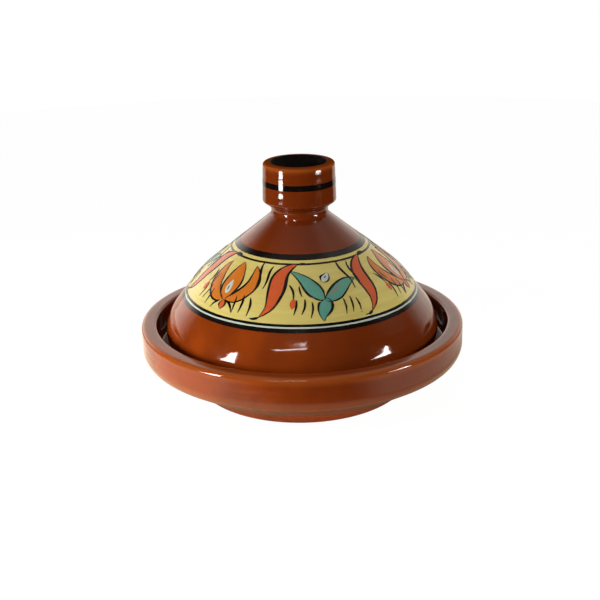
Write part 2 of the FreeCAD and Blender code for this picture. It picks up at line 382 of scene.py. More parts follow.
def draw_outline(name, corners):
    """Draw half a section: drag a point from corner to corner, then round the corners."""
    piece = drag_line(name, [corner.place for corner in corners])
    for before, corner, after in zip(corners, corners[1:], corners[2:]):
        if corner.rounding:
            round_corner(piece, before, corner, after)
    divide_long_sides(piece)
    return piece


def thrown_sag(place):
    """How far a hand-thrown wall stands in from a true circle at a place."""
    round_place = place.xy.normalized()
    slow = noise.noise(Vector((*round_place, place.z / SLOW_WAVE)))
    drift = FINGER_DRIFT * noise.noise(Vector((*round_place, 0)))
    finger = math.sin(math.tau * (place.z / FINGER_SPACING + drift))
    calm = min(1, place.xy.length / AXIS_CALM)
    return calm * (OUT_OF_ROUND * (1 + slow) + FINGER_DEPTH * (1 + finger)) / 2


def mark_thin_edges(piece, corners):
    """Note on each vertex how near it is to an edge where the glaze runs thin."""
    edges = [corner for corner in corners if corner.thin]
    layer = piece.data.attributes.new(THIN_GLAZE, "FLOAT", "POINT")
    for vertex, note in zip(piece.data.vertices, layer.data):
        place = Vector((vertex.co.xy.length, 0, vertex.co.z))
        nearness = [1 - (place - edge.place).length / (2 * edge.rounding) for edge in edges]
        note.value = max([0, *nearness])


def turn_on_wheel(piece, corners):
    """Spin an outline once round the axis, and leave the marks of throwing in it."""
    bpy.ops.mesh.select_all(action="SELECT")
    bpy.ops.mesh.spin(steps=TURN_STEPS, angle=math.tau, center=(0, 0, 0), axis=(0, 0, 1))
    bpy.ops.mesh.select_all(action="SELECT")
    bpy.ops.mesh.remove_doubles(threshold=WELD)
    bpy.ops.mesh.normals_make_consistent(inside=False)
    bpy.ops.object.mode_set(mode="OBJECT")
    mark_thin_edges(piece, corners)
    for vertex in piece.data.vertices:
        if vertex.co.xy.length > WELD:
            vertex.co.xy -= vertex.co.xy.normalized() * thrown_sag(vertex.co)


def throw(name, corners):
    """Make one turned piece from its outline."""
    piece = draw_outline(name, corners)
    turn_on_wheel(piece, corners)
    return piece


def peel_coat(source, name, low, high, keep):
    """Copy the skin of a piece between two heights, where its faces pass a test."""
    coat = copy_piece(source, name)
    activate(coat)
    bpy.ops.object.mode_set(mode="EDIT")
    bpy.ops.mesh.select_all(action="SELECT")
    bpy.ops.mesh.bisect(plane_co=(0, 0, low), plane_no=(0, 0, 1), clear_inner=True)
    bpy.ops.mesh.select_all(action="SELECT")
    bpy.ops.mesh.bisect(plane_co=(0, 0, high), plane_no=(0, 0, 1), clear_outer=True)
    edit_select(coat, "faces", lambda face: not keep(face))
    bpy.ops.mesh.delete(type="FACE")
    bpy.ops.object.mode_set(mode="OBJECT")
    return coat


def faces_out(face):
    """True for the outside of a turned wall."""
    return face.normal.xy.dot(face.calc_center_median().xy) > 0


def sway_edges(coat, source, low, high, sway, reach):
    """Let the two edges of a painted band wander as a hand-held brush does."""
    for vertex in coat.data.vertices:
        for edge in (low, high):
            if abs(vertex.co.z - edge) < SAME_PLACE:
                spot = Vector((vertex.co.x, vertex.co.y, edge * NOISE_APART)) / reach
                vertex.co.z += sway * noise.noise(spot)
                break
    apply_modifier(coat, "SHRINKWRAP", target=source, wrap_method="NEAREST_SURFACEPOINT")


def thicken(coat, thickness, offset, **settings):
    """Give a skin its thickness."""
    apply_modifier(
        coat, "SOLIDIFY", thickness=thickness, offset=offset, use_even_offset=False, **settings
    )


# Real sizes of what shows in the glaze, the slips and the clay
RIPPLE_WIDTH = 9 * MM
GLAZE_FINGER_SPACING = 6 * MM
PINHOLE_SPACING = 11 * MM
GLAZE_RELIEF = 0.09 * MM
POOL_WIDTH = 38 * MM
IRON_SPACING = 7 * MM
SLIP_PATCH = 5 * MM
WIDE_BRUSH_STREAK = 2.5 * MM
HAIR_STREAK = 0.7 * MM
BLUSH_WIDTH = 20 * MM
GRIT_WIDTH = 0.8 * MM
CLAY_RELIEF = 0.12 * MM

# The wave texture repeats every tau / 20 units at scale 1
WAVE_UNIT = math.tau / 20

# How much of the glaze's relief the finger marks have, beside the ripples
FINGER_SHARE = 0.25

# Streaks are drawn out along the way that the brush went.
ROUND_THE_LID = (0.06, 0.06, 1.0)
ALONG_THE_STROKE = (0.12, 1.0, 1.0)

# Roughness of each finish, from its smoothest spot to its roughest
POT_GLOSS = (0.05, 0.11)
SLIP_GLOSS = (0.04, 0.1)
# The dull near-black coat inside the cup.
DULL_CUP_BLACK = (0.6, 0.8)
CLAY_MATT = (0.75, 0.95)

# Colours in the clay and the slips that a user has no need to change
IRON_SPECK = linear("2a1206")
THIN_BLACK = linear("24140c")
PALE_GROG = linear("d39a72")
THICK_SLIP_SHADE = 0.8
DARK_CLAY_SHADE = 0.7

# Smooth steps: while what it follows goes from the first value to the second, a step goes from the
# third to the fourth. The brown glaze is deep where the first three are low: in random pools, darker
# towards the top, and darker on the right side as painted shade. It is dull where the last is.
POOLS = (0.2, 0.7, 0.25, 0.95)
DARKER_TOWARDS_TOP = (125 * MM, 160 * MM, 1.0, 0.1)
# The glaze grows deeper towards the right side: painted shade.
PAINTED_SHADE_ON_RIGHT = (-90 * MM, 100 * MM, 1.12, 0.1)
WIPED_LIP = (211.2 * MM, 212.6 * MM, 0.5, 0.0)

# The mix node repeats the names of its sockets for each kind of value. These are the colour ones.
MIX_BELOW = 6
MIX_ABOVE = 7
MIX_RESULT = 2


def add_node(tree, kind, settings=None, links=None):
    """Add a shader node, set its values by socket or setting name, and link its inputs."""
    node = tree.nodes.new(kind)
    for name, value in (settings or {}).items():
        if isinstance(name, int) or name in node.inputs:
            node.inputs[name].default_value = value
        else:
            setattr(node, name, value)
    for name, socket in (links or {}).items():
        tree.links.new(socket, node.inputs[name])
    return node


def grade(tree, *steps):
    """Multiply smooth steps, each given by the socket that it follows and its four values."""
    product = None
    for follows, (start, end, low, high) in steps:
        limits = {"From Min": start, "From Max": end, "To Min": low, "To Max": high}
        step = add_node(
            tree, "ShaderNodeMapRange", {"interpolation_type": "SMOOTHSTEP", **limits}, {0: follows}
        )
        if product:
            both = {0: product.outputs[0], 1: step.outputs[0]}
            step = add_node(tree, "ShaderNodeMath", {"operation": "MULTIPLY"}, both)
        product = step
    return product.outputs[0]


def new_material(name):
    """An empty node material and its node tree."""
    material = bpy.data.materials.new(name)
    material.use_nodes = True
    material.node_tree.nodes.clear()
    return material, material.node_tree


def clear_glaze(tree, place, ground, layers, gloss):
    """Lay colours over a ground colour, each by its share, and cover them with clear glaze.

    The glaze is smooth and bright but never flat: it ripples every few millimetres where it ran in the
    kiln, follows the finger marks below, and has a pinhole here and there.
    """
    below = {}
    for share, above in layers:
        base = add_node(
            tree, "ShaderNodeMix",
            {"data_type": "RGBA", MIX_BELOW: (*ground, 1), MIX_ABOVE: (*above, 1)},
            {0: share, **below},
        ).outputs[MIX_RESULT]
        below = {MIX_BELOW: base}
    ripple = add_node(
        tree, "ShaderNodeTexNoise", {"Scale": 1 / RIPPLE_WIDTH, "Detail": 2.0}, {"Vector": place}
    ).outputs["Fac"]
    finger = add_node(
        tree, "ShaderNodeTexWave",
        {
            "bands_direction": "Z", "Scale": WAVE_UNIT / GLAZE_FINGER_SPACING,
            "Distortion": 3.0, "Detail": 1.0,
        },
        {"Vector": place},
    ).outputs["Fac"]
    pinholes = add_node(
        tree, "ShaderNodeTexVoronoi", {"Scale": 1 / PINHOLE_SPACING}, {"Vector": place}
    )
    hole = add_node(
        tree, "ShaderNodeMapRange",
        {"From Min": 0.02, "From Max": 0.05, "To Min": -0.8, "To Max": 0.0},
        {0: pinholes.outputs["Distance"]},
    )
    run = add_node(
        tree, "ShaderNodeMath", {"operation": "MULTIPLY_ADD", 1: FINGER_SHARE}, {0: finger, 2: ripple}
    )
    relief = add_node(
        tree, "ShaderNodeMath", {"operation": "ADD"}, {0: run.outputs[0], 1: hole.outputs[0]}
    )
    bump = add_node(
        tree, "ShaderNodeBump", {"Strength": 1.0, "Distance": GLAZE_RELIEF},
        {"Height": relief.outputs[0]},
    )
    rough = add_node(
        tree, "ShaderNodeMapRange", {"To Min": gloss[0], "To Max": gloss[1]}, {0: ripple}
    )
    shader = add_node(
        tree, "ShaderNodeBsdfPrincipled", {"IOR": 1.5},
        {"Base Color": base, "Roughness": rough.outputs[0], "Normal": bump.outputs[0]},
    )
    add_node(tree, "ShaderNodeOutputMaterial", links={"Surface": shader.outputs[0]})
    return shader


def amber_glaze_on_red_clay(colours):
    """Amber glaze, dipped over red clay: warm brown, deeper where it pooled and towards the top, orange on
    the edges, and darker on the right side as painted shade.
    """
    material, tree = new_material("amber_glaze_on_red_clay")
    place = add_node(tree, "ShaderNodeTexCoord").outputs["Object"]
    axes = add_node(tree, "ShaderNodeSeparateXYZ", links={0: place}).outputs
    pooled = add_node(
        tree, "ShaderNodeTexNoise", {"Scale": 1 / POOL_WIDTH, "Detail": 3.0}, {"Vector": place}
    )
    # The glaze is drawn deeper towards the top, over the knob and the top of the cone, and deeper on the
    # right side, away from the key lamp, as painted shade.
    share = grade(
        tree, (pooled.outputs["Fac"], POOLS), (axes["Z"], DARKER_TOWARDS_TOP), (axes["X"], PAINTED_SHADE_ON_RIGHT)
    )
    thin = add_node(tree, "ShaderNodeAttribute", {"attribute_name": THIN_GLAZE})
    iron = add_node(tree, "ShaderNodeTexVoronoi", {"Scale": 1 / IRON_SPACING}, {"Vector": place})
    speck = add_node(
        tree, "ShaderNodeMapRange",
        {"From Min": 0.03, "From Max": 0.08, "To Min": 0.55, "To Max": 0.0},
        {0: iron.outputs["Distance"]},
    )
    layers = (
        (share, colours.brown),
        (thin.outputs["Fac"], colours.brown_thin),
        (speck.outputs[0], IRON_SPECK),
    )
    shader = clear_glaze(tree, place, colours.brown_pooled_and_shade, layers, POT_GLOSS)
    # The knob's lip was wiped before firing, so it is dull.
    tree.links.new(grade(tree, (axes["Z"], WIPED_LIP)), shader.inputs["Specular IOR Level"])
    return material


def black_slip(name, colours, gloss):
    """Black slip: near black, a little brown where it is thin, bright or dull by its glaze."""
    material, tree = new_material(name)
    place = add_node(tree, "ShaderNodeTexCoord").outputs["Object"]
    patchy = add_node(
        tree, "ShaderNodeTexNoise", {"Scale": 1 / SLIP_PATCH, "Detail": 3.0}, {"Vector": place}
    )
    share = add_node(
        tree, "ShaderNodeMapRange", {"From Min": 0.55, "From Max": 0.8}, {0: patchy.outputs["Fac"]}
    )
    clear_glaze(tree, place, colours.black, [(share.outputs[0], THIN_BLACK)], gloss)
    return material


def yellow_slip(colours):
    """Yellow slip, laid with a wide brush on the turning wheel: faint streaks round the lid."""
    material, tree = new_material("yellow_slip_under_clear_glaze")
    place = add_node(tree, "ShaderNodeTexCoord").outputs["Object"]
    drawn = add_node(tree, "ShaderNodeMapping", {"Scale": ROUND_THE_LID}, {"Vector": place})
    streak = add_node(
        tree, "ShaderNodeTexNoise", {"Scale": 1 / WIDE_BRUSH_STREAK, "Detail": 4.0},
        {"Vector": drawn.outputs[0]},
    )
    share = add_node(
        tree, "ShaderNodeMapRange", {"From Min": 0.35, "From Max": 0.75}, {0: streak.outputs["Fac"]}
    )
    clear_glaze(tree, place, colours.yellow, [(share.outputs[0], colours.yellow_thin)], POT_GLOSS)
    return material


def brushed_slip(name, tint):
    """Coloured slip, laid with a pointed brush: streaks along the stroke, paler where it is thin."""
    material, tree = new_material(f"{name}_slip_under_clear_glaze")
    place = add_node(tree, "ShaderNodeTexCoord").outputs
    # The stroke's own map is in metres, along it and across it, so each hair of the brush shows.
    drawn = add_node(tree, "ShaderNodeMapping", {"Scale": ALONG_THE_STROKE}, {"Vector": place["UV"]})
    streak = add_node(
        tree, "ShaderNodeTexNoise", {"Scale": 1 / HAIR_STREAK, "Detail": 3.0},
        {"Vector": drawn.outputs[0]},
    )
    share = add_node(
        tree, "ShaderNodeMapRange", {"From Min": 0.3, "From Max": 0.75}, {0: streak.outputs["Fac"]}
    )
    thick = [value * THICK_SLIP_SHADE for value in tint]
    clear_glaze(tree, place["Object"], thick, [(share.outputs[0], tint)], SLIP_GLOSS)
    return material


def bare_red_clay(colours):
    """Fired red clay with no glaze: matt and sandy, blushed by the fire, with pale grog in it."""
    material, tree = new_material("bare_red_clay")
    place = add_node(tree, "ShaderNodeTexCoord").outputs["Object"]
    blush = add_node(
        tree, "ShaderNodeTexNoise", {"Scale": 1 / BLUSH_WIDTH, "Detail": 4.0}, {"Vector": place}
    )
    grit = add_node(
        tree, "ShaderNodeTexNoise", {"Scale": 1 / GRIT_WIDTH, "Detail": 3.0}, {"Vector": place}
    ).outputs["Fac"]
    dark = [value * DARK_CLAY_SHADE for value in colours.clay]
    warm = add_node(
        tree, "ShaderNodeMix",
        {"data_type": "RGBA", MIX_BELOW: (*dark, 1), MIX_ABOVE: (*colours.clay, 1)},
        {0: blush.outputs["Fac"]},
    )
    grog = add_node(tree, "ShaderNodeMapRange", {"From Min": 0.62, "From Max": 0.75}, {0: grit})
    base = add_node(
        tree, "ShaderNodeMix", {"data_type": "RGBA", MIX_ABOVE: (*PALE_GROG, 1)},
        {0: grog.outputs[0], MIX_BELOW: warm.outputs[MIX_RESULT]},
    )
    rough = add_node(
        tree, "ShaderNodeMapRange", {"To Min": CLAY_MATT[0], "To Max": CLAY_MATT[1]}, {0: grit}
    )
    bump = add_node(
        tree, "ShaderNodeBump", {"Strength": 1.0, "Distance": CLAY_RELIEF}, {"Height": grit}
    )
    shader = add_node(
        tree, "ShaderNodeBsdfPrincipled", {"IOR": 1.45},
        {
            "Base Color": base.outputs[MIX_RESULT], "Roughness": rough.outputs[0],
            "Normal": bump.outputs[0],
        },
    )
    add_node(tree, "ShaderNodeOutputMaterial", links={"Surface": shader.outputs[0]})
    return material


def dish_corners(size):
    """Outline of the dish, from the middle of its underside round to the middle of its bowl."""
    foot = size.radius - size.foot_inset
    ring = foot - size.ring_width
    waist = foot + size.foot_spread
    mouth = size.radius - size.rim_width
    ledge_edge = mouth - size.ledge_width
    return [
        Corner(0, size.recess),
        Corner(ring, size.recess, size.ring_round),
        Corner(ring, 0, size.ring_round),
        Corner(foot, 0, size.foot_round),
        Corner(waist, size.foot_height, size.waist_round),
        Corner(size.radius, size.height - size.band_height, size.band_round),
        Corner(size.radius, size.height, size.rim_outer_round, thin=True),
        Corner(mouth, size.height, size.rim_inner_round, thin=True),
        Corner(mouth, size.ledge, size.gallery_round),
        Corner(ledge_edge, size.ledge, size.ledge_round, thin=True),
        Corner(foot, size.floor_height, size.bowl_round),
        Corner(0, size.floor_height),
    ]


def inset(before, corner, after, wall):
    """The corner on the inside of a wall that follows an outline."""
    first = (corner - before).normalized()
    second = (after - corner).normalized()
    inward = [Vector((side.z, 0, -side.x)) for side in (first, second)]
    return corner + wall * (inward[0] + inward[1]) / (1 + inward[0].dot(inward[1]))


def lid_corners(size):
    """Outline of the lid, from the middle of its top round to the middle of its hollow."""
    wall = size.wall
    tuck_height = size.foot + size.edge_height
    rest = size.radius - size.edge_tuck
    crown_height = size.top - size.crown
    seam = Vector((size.seam_radius, 0, size.top))
    shoulder = Vector((size.radius, 0, size.foot + size.shoulder_rise))
    tuck = Vector((size.radius, 0, tuck_height))
    chord = (seam - shoulder).normalized()
    outward = Vector((chord.z, 0, -chord.x))
    reach = math.sqrt(size.bend_reach ** 2 - size.bend_bulge ** 2)
    bend = shoulder + chord * reach + outward * size.bend_bulge
    inner_bend = inset(seam, bend, shoulder, wall)
    inner_shoulder = inset(bend, shoulder, tuck, wall)
    slope = (seam - bend).normalized()
    inner_crown = inner_bend + slope * (crown_height - inner_bend.z) / slope.z
    return [
        Corner(0, size.top),
        Corner(seam.x, seam.z, size.seam_round),
        Corner(bend.x, bend.z, size.bend_round),
        Corner(shoulder.x, shoulder.z, size.shoulder_round),
        Corner(tuck.x, tuck.z, size.edge_round),
        Corner(rest, size.foot, size.rest_round, thin=True),
        Corner(rest - wall, size.foot, size.rest_round, thin=True),
        Corner(size.radius - wall, tuck_height, size.edge_round),
        Corner(inner_shoulder.x, inner_shoulder.z, size.shoulder_round - wall),
        Corner(inner_bend.x, inner_bend.z, size.bend_round - wall),
        Corner(inner_crown.x, inner_crown.z, size.crown_round),
        Corner(0, crown_height),
    ]


def knob_corners(size):
    """Outline of the knob, from the middle of its foot round to the middle of its cup."""
    neck_top = size.foot + size.neck_height
    cup = size.radius - size.wall
    cup_floor = size.foot + size.cup_floor
    lip = size.radius - size.side_lean
    return [
        Corner(0, size.foot),
        Corner(size.neck_radius + size.neck_flare, size.foot),
        Corner(size.neck_radius, size.foot + size.neck_spread, size.neck_round),
        Corner(size.neck_radius, neck_top, size.neck_round),
        Corner(size.radius, neck_top + size.flare_height, size.flare_round),
        Corner(lip, size.top - size.lip_rise, size.lip_round, thin=True),
        Corner(cup + size.lip_width, size.top, size.mouth_round, thin=True),
        Corner(cup - size.cup_taper, cup_floor, size.cup_round),
        Corner(0, cup_floor),
    ]


class TAGINE_OT_dish(bpy.types.Operator):
    """Throw the dish and wipe its foot clean of glaze"""

    bl_idname = "tagine.dish"
    bl_label = "Dish"

    def execute(self, context):
        size = context.scene.tagine_dish
        colours = context.scene.tagine_colours
        ring_middle = size.radius - size.foot_inset - size.ring_width / 2

        def is_bare(face):
            """True for the underside inside the foot ring, and for the ring up to where it was wiped."""
            middle = face.calc_center_median()
            wiped = middle.xy.length < ring_middle or middle.z < size.wiped_height
            return face.normal.z < 0 and wiped

        dish = throw("dish_thrown", dish_corners(size))
        foot = peel_coat(dish, "foot_bare_clay", -CUT_MARGIN, size.recess + SAME_PLACE, is_bare)
        thicken(foot, 2 * size.wiped_height, WIPED_INWARD)
        activate(dish)
        bpy.ops.object.mode_set(mode="EDIT")
        edit_select(dish, "verts", lambda vertex: vertex.co.z < size.wiped_height)
        bpy.ops.transform.translate(value=(0, 0, size.wiped_height / 2))
        bpy.ops.object.mode_set(mode="OBJECT")
        finish_piece(dish, amber_glaze_on_red_clay(colours), "dish", "dish")
        finish_piece(foot, bare_red_clay(colours), "dish")
        return {"FINISHED"}


class TAGINE_OT_lid(bpy.types.Operator):
    """Throw the conical lid"""

    bl_idname = "tagine.lid"
    bl_label = "Lid"

    def execute(self, context):
        lid = throw("lid_thrown", lid_corners(context.scene.tagine_lid))
        amber = bpy.data.materials["amber_glaze_on_red_clay"]
        finish_piece(lid, amber, "lid", "lid_cone")
        return {"FINISHED"}


class TAGINE_OT_knob(bpy.types.Operator):
    """Throw the knob, paint its stripe, and coat the inside of its cup in dull black"""

    bl_idname = "tagine.knob"
    bl_label = "Knob"

    def execute(self, context):
        size = context.scene.tagine_knob
        bands = context.scene.tagine_bands
        colours = context.scene.tagine_colours
        amber = bpy.data.materials["amber_glaze_on_red_clay"]
        black = black_slip("black_slip_under_clear_glaze", colours, SLIP_GLOSS)
        dull_black = black_slip("dull_black_slip", colours, DULL_CUP_BLACK)
        knob = throw("knob_thrown", knob_corners(size))
        finish_piece(knob, amber, "lid", "lid_knob")
        stripe = peel_coat(knob, "knob_stripe", size.stripe_low, size.stripe_high, faces_out)
        sway_edges(stripe, knob, size.stripe_low, size.stripe_high, bands.hand_sway, bands.sway_reach)
        thicken(stripe, bands.band_coat, COAT_OUTWARD)
        finish_piece(stripe, black, "lid")
        # The inside of the cup is coated dull near-black, far darker than the glaze around it.
        low = size.foot + size.cup_floor - CUT_MARGIN
        cup = peel_coat(
            knob, "knob_cup_slip", low, size.top - size.cup_black_drop,
            lambda face: not faces_out(face) and face.calc_center_median().z > low + CUT_MARGIN / 2,
        )
        thicken(cup, bands.band_coat, COAT_OUTWARD)
        finish_piece(cup, dull_black, "lid")
        return {"FINISHED"}


class TAGINE_OT_bands(bpy.types.Operator):
    """Paint the yellow field and the bands and lines that edge it"""

    bl_idname = "tagine.bands"
    bl_label = "Painted bands"

    def execute(self, context):
        size = context.scene.tagine_bands
        colours = context.scene.tagine_colours
        lid = bpy.data.objects["lid_thrown"]
        black = bpy.data.materials["black_slip_under_clear_glaze"]
        field_low = size.field_low - size.field_under
        field_top = size.field_top + size.field_under
        coats = (
            ("lid_yellow_field", field_low, field_top, size.field_coat, yellow_slip(colours),
             "yellow_slip"),
            ("lid_upper_band", size.field_top, size.black_top, size.band_coat, black, "black_slip"),
            ("lid_upper_line", size.rule_low, size.rule_top, size.band_coat, black, "black_slip"),
            ("lid_lower_band", size.black_low, size.field_low, size.band_coat, black, "black_slip"),
            ("lid_pale_line", size.pale_low, size.pale_top, size.line_coat,
             brushed_slip("pale", colours.pale), "pale_slip"),
        )
        for name, low, high, coat, material, slot in coats:
            band = peel_coat(lid, name, low, high, faces_out)
            sway_edges(band, lid, low, high, size.hand_sway, size.sway_reach)
            thicken(band, coat, COAT_OUTWARD)
            finish_piece(band, material, "lid")
        return {"FINISHED"}


# One brush stroke on the flat: its slip, the points in millimetres that steer it, its width, and its
# hem: how wide the leaf is whose edge it follows, to the left or, where negative, to the right.
Stroke = namedtuple("Stroke", "slip points width hem", defaults=(0.0,))

# How finely a stroke is drawn
STROKE_STEPS = 22
BRUSH_STEPS = 3
FILL_STEPS = 7
REACH_STEPS = 8
TANGENT_STEP = 0.01

# A leaf is fullest before its middle, and so is a brush line, which lands thin. Of the two lines that
# edge a leaf, the second is thinner.
LEAF_LEAN = 0.85
LEAF_FULLNESS = 0.8
BRUSH_LANDING = 0.3
BRUSH_LEAN = 0.75
SECOND_EDGE = 0.75

# How much less slip lies at the side of a stroke than in its middle, and the least that is left there
SIDE_LOSS = 0.9
LEAST_LOAD = 0.2

# How far off the lid a figure is bent round it, before it is pressed on
BRUSH_LIFT = 4 * MM


def along(points, share):
    """A place on the smooth line that a few given points steer."""
    points = [Vector(point) * MM for point in points]
    while len(points) > 1:
        points = [first.lerp(second, share) for first, second in zip(points, points[1:])]
    return points[0]


def aside(points, share):
    """The direction to the left of that line."""
    ahead = along(points, min(1, share + TANGENT_STEP))
    behind = along(points, max(0, share - TANGENT_STEP))
    forward = (ahead - behind).normalized()
    return Vector((-forward.y, forward.x))


def leaf_swell(share):
    """How wide a leaf is along its length: pointed at both ends, fullest before the middle."""
    return math.sin(math.pi * share ** LEAF_LEAN) ** LEAF_FULLNESS


def brush_swell(share):
    """How wide a brush line is along its length: it lands thin, presses and lifts."""
    return BRUSH_LANDING + (1 - BRUSH_LANDING) * math.sin(math.pi * share ** BRUSH_LEAN)


def outlined(slip, points, width, line):
    """A leaf and the two black lines that edge it."""
    return [
        Stroke(slip, points, width * MM),
        Stroke("black", points, line, width * MM),
        Stroke("black", points, SECOND_EDGE * line, -width * MM),
    ]


def mirrored(points):
    """The same points on the other side of the upright line through the figure's middle."""
    return [(-across, up) for across, up in points]


def tulip(line):
    """Three-petalled orange flower with a pale heart, a red bud below and two tendrils."""
    side = [(1, -13), (15, -14), (21, 2), (12, 17)]
    return [
        *outlined("orange", side, 11, line),
        *outlined("orange", mirrored(side), 11, line),
        *outlined("orange", [(0, -14), (-1, -4), (1, 8), (0, 19)], 15, line),
        Stroke("pale", [(0, -9), (0, -4), (0, 3)], 7 * MM),
        Stroke("black", [(0, -6), (0, -2)], line),
        *outlined("red", [(0, -14), (1, -18), (0, -22)], 6, line),
        Stroke("black", [(3, -15), (9, -17), (11, -23)], 0.9 * line),
        Stroke("black", [(-3, -15), (-9, -17), (-10, -22)], 0.9 * line),
    ]


def spray(line):
    """Three teal leaves from one point, with one red vein and a pale seed."""
    leaves = (
        ([(0, -8), (-7, -4), (-9, 8), (-22, 15)], 11),
        ([(0, -8), (9, -6), (13, 6), (24, 8)], 12),
        ([(0, -7), (3, -12), (-4, -17), (-2, -25)], 10),
    )
    strokes = []
    for points, width in leaves:
        strokes += outlined("teal", points, width, line)
    strokes += [
        Stroke("red", [(3, -4), (9, 0), (14, 5)], 1.8 * MM),
        *outlined("pale", [(-1, 7), (2, 10), (3, 15)], 6, 0.8 * line),
        Stroke("black", [(1, 10), (2, 12)], line),
    ]
    return strokes


def long_leaf(line):
    """Long red leaf that bends both ways across the field, with a black tail at each end."""
    points = [(10, 25), (-12, 14), (10, -6), (-9, -23)]
    return [
        *outlined("red", points, 11, 1.2 * line),
        Stroke("black", [(10, 25), (13, 26), (17, 25)], line),
        Stroke("black", [(-9, -23), (-12, -25), (-17, -25)], line),
    ]


def grass(line):
    """A fan of short upright brush lines."""
    blades = ([(-6, 7), (-5, 0), (-7, -7)], [(0, 8), (1, 1), (-1, -6)], [(5, 6), (7, 0), (6, -8)])
    return [Stroke("black", points, 0.8 * line) for points in blades]


def reeds(line):
    """Two long bent brush lines."""
    return [
        Stroke("black", [(-4, 12), (-6, 3), (2, -2), (-1, -13)], line),
        Stroke("black", [(4, 10), (1, 3), (7, -3), (5, -10)], 0.8 * line),
    ]


def bud(line):
    """A red bud on a thin curved stem, and a short brush line beside it."""
    return [
        Stroke("black", [(-3, 12), (1, 6), (0, -1)], 0.8 * line),
        Stroke("red", [(0, 0), (1, -4), (0, -8)], 4.5 * MM),
        Stroke("black", [(4, 11), (4, 6), (6, 2)], 0.7 * line),
    ]


# The figures, how high the flowers and leaf sprays stand over the field's middle, and where the others
# stand between them: their share of the way to the next one, and their height
FIGURES = (tulip, spray, long_leaf, grass, reeds, bud)
MAIN_RISE = 1 * MM
SIDE_FIGURES = (
    ("long_leaf", 0.5, 0.0),
    ("grass", 0.24, -17 * MM),
    ("grass", -0.21, -16 * MM),
    ("bud", 0.7, -7 * MM),
    ("reeds", 0.34, 14 * MM),
)

# How far the hand strays from such a place, how far it tilts a figure, and how large it paints it
STRAY = 0.03
TILT_DEGREES = 7
SCALES = (1.1, 1.24)


def lay_stroke(stroke):
    """Draw one stroke on the flat from a grid, with its load of slip and a map in metres."""
    deselect()
    swell, steps = (brush_swell, BRUSH_STEPS) if stroke.slip == "black" else (leaf_swell, FILL_STEPS)
    bpy.ops.mesh.primitive_grid_add(x_subdivisions=STROKE_STEPS, y_subdivisions=steps, size=1)
    flat = bpy.context.object
    load = flat.vertex_groups.new(name="load")
    stops = [along(stroke.points, step / REACH_STEPS) for step in range(REACH_STEPS + 1)]
    reach = sum((end - start).length for start, end in zip(stops, stops[1:]))
    spots = []
    for vertex in flat.data.vertices:
        share = vertex.co.x + 0.5
        side = vertex.co.y * 2
        half = stroke.width * swell(share) / 2
        middle = along(stroke.points, share)
        left = aside(stroke.points, share)
        hem = stroke.hem * leaf_swell(share) / 2
        vertex.co.xy = middle + left * (hem + half * side)
        vertex.co.z = 0
        load.add([vertex.index], 1 - SIDE_LOSS * side ** 2, "REPLACE")
        spots.append((reach * share, half * side))
    for loop, corner in zip(flat.data.loops, flat.data.uv_layers.active.data):
        corner.uv = spots[loop.vertex_index]
    # A leaf's ends are points, where the grid's last rows fall together.
    bpy.ops.object.mode_set(mode="EDIT")
    bpy.ops.mesh.select_all(action="SELECT")
    bpy.ops.mesh.remove_doubles(threshold=SAME_PLACE)
    bpy.ops.object.mode_set(mode="OBJECT")
    return flat


def draw_figure(strokes):
    """Draw one figure on the flat, as one mesh for each slip."""
    flats = {}
    for stroke in strokes:
        flats.setdefault(stroke.slip, []).append(lay_stroke(stroke))
    return {slip: join_pieces(parts, f"{slip}_flat") for slip, parts in flats.items()}


def wrap_on_lid(figure, turn, climb, tilt, scale, field, sway, reach):
    """Bend a flat figure round the lid, a little above the yellow field."""
    low, high = field
    slope = (high - low).length
    apart = Vector((NOISE_APART, NOISE_APART, NOISE_APART))
    for vertex in figure.data.vertices:
        flat = Matrix.Rotation(tilt, 2) @ vertex.co.xy * scale
        spot = Vector((flat.x / reach + turn, flat.y / reach, turn))
        flat += sway * Vector((noise.noise(spot), noise.noise(spot + apart)))
        share = (climb + flat.y) / slope
        ring = low.lerp(high, share)
        angle_round = turn + flat.x / ring.x
        radius = ring.x + BRUSH_LIFT
        vertex.co = (
            radius * math.sin(angle_round), -radius * math.cos(angle_round), ring.y + BRUSH_LIFT
        )


def paint_round_lid(size, ends, patterns):
    """Copy the figures round the lid as the hand sets them, and list the copies of each slip."""
    hand = random.Random(size.seed)
    middle = (ends[1] - ends[0]).length / 2
    step = math.tau / size.figures
    laid = {}
    for number in range(size.figures):
        turn = size.start + number * step
        main = "tulip" if number % 2 else "spray"
        for name, share, rise in ((main, 0.0, MAIN_RISE), *SIDE_FIGURES):
            spot = turn + (share + hand.uniform(-STRAY, STRAY)) * step
            tilt = math.radians(hand.uniform(-TILT_DEGREES, TILT_DEGREES))
            scale = hand.uniform(*SCALES)
            for slip, flat in patterns[name].items():
                copy = copy_piece(flat, f"{slip}_part")
                wrap_on_lid(
                    copy, spot, middle + rise, tilt, scale, ends, size.hand_sway, size.sway_reach
                )
                laid.setdefault(slip, []).append(copy)
    return laid


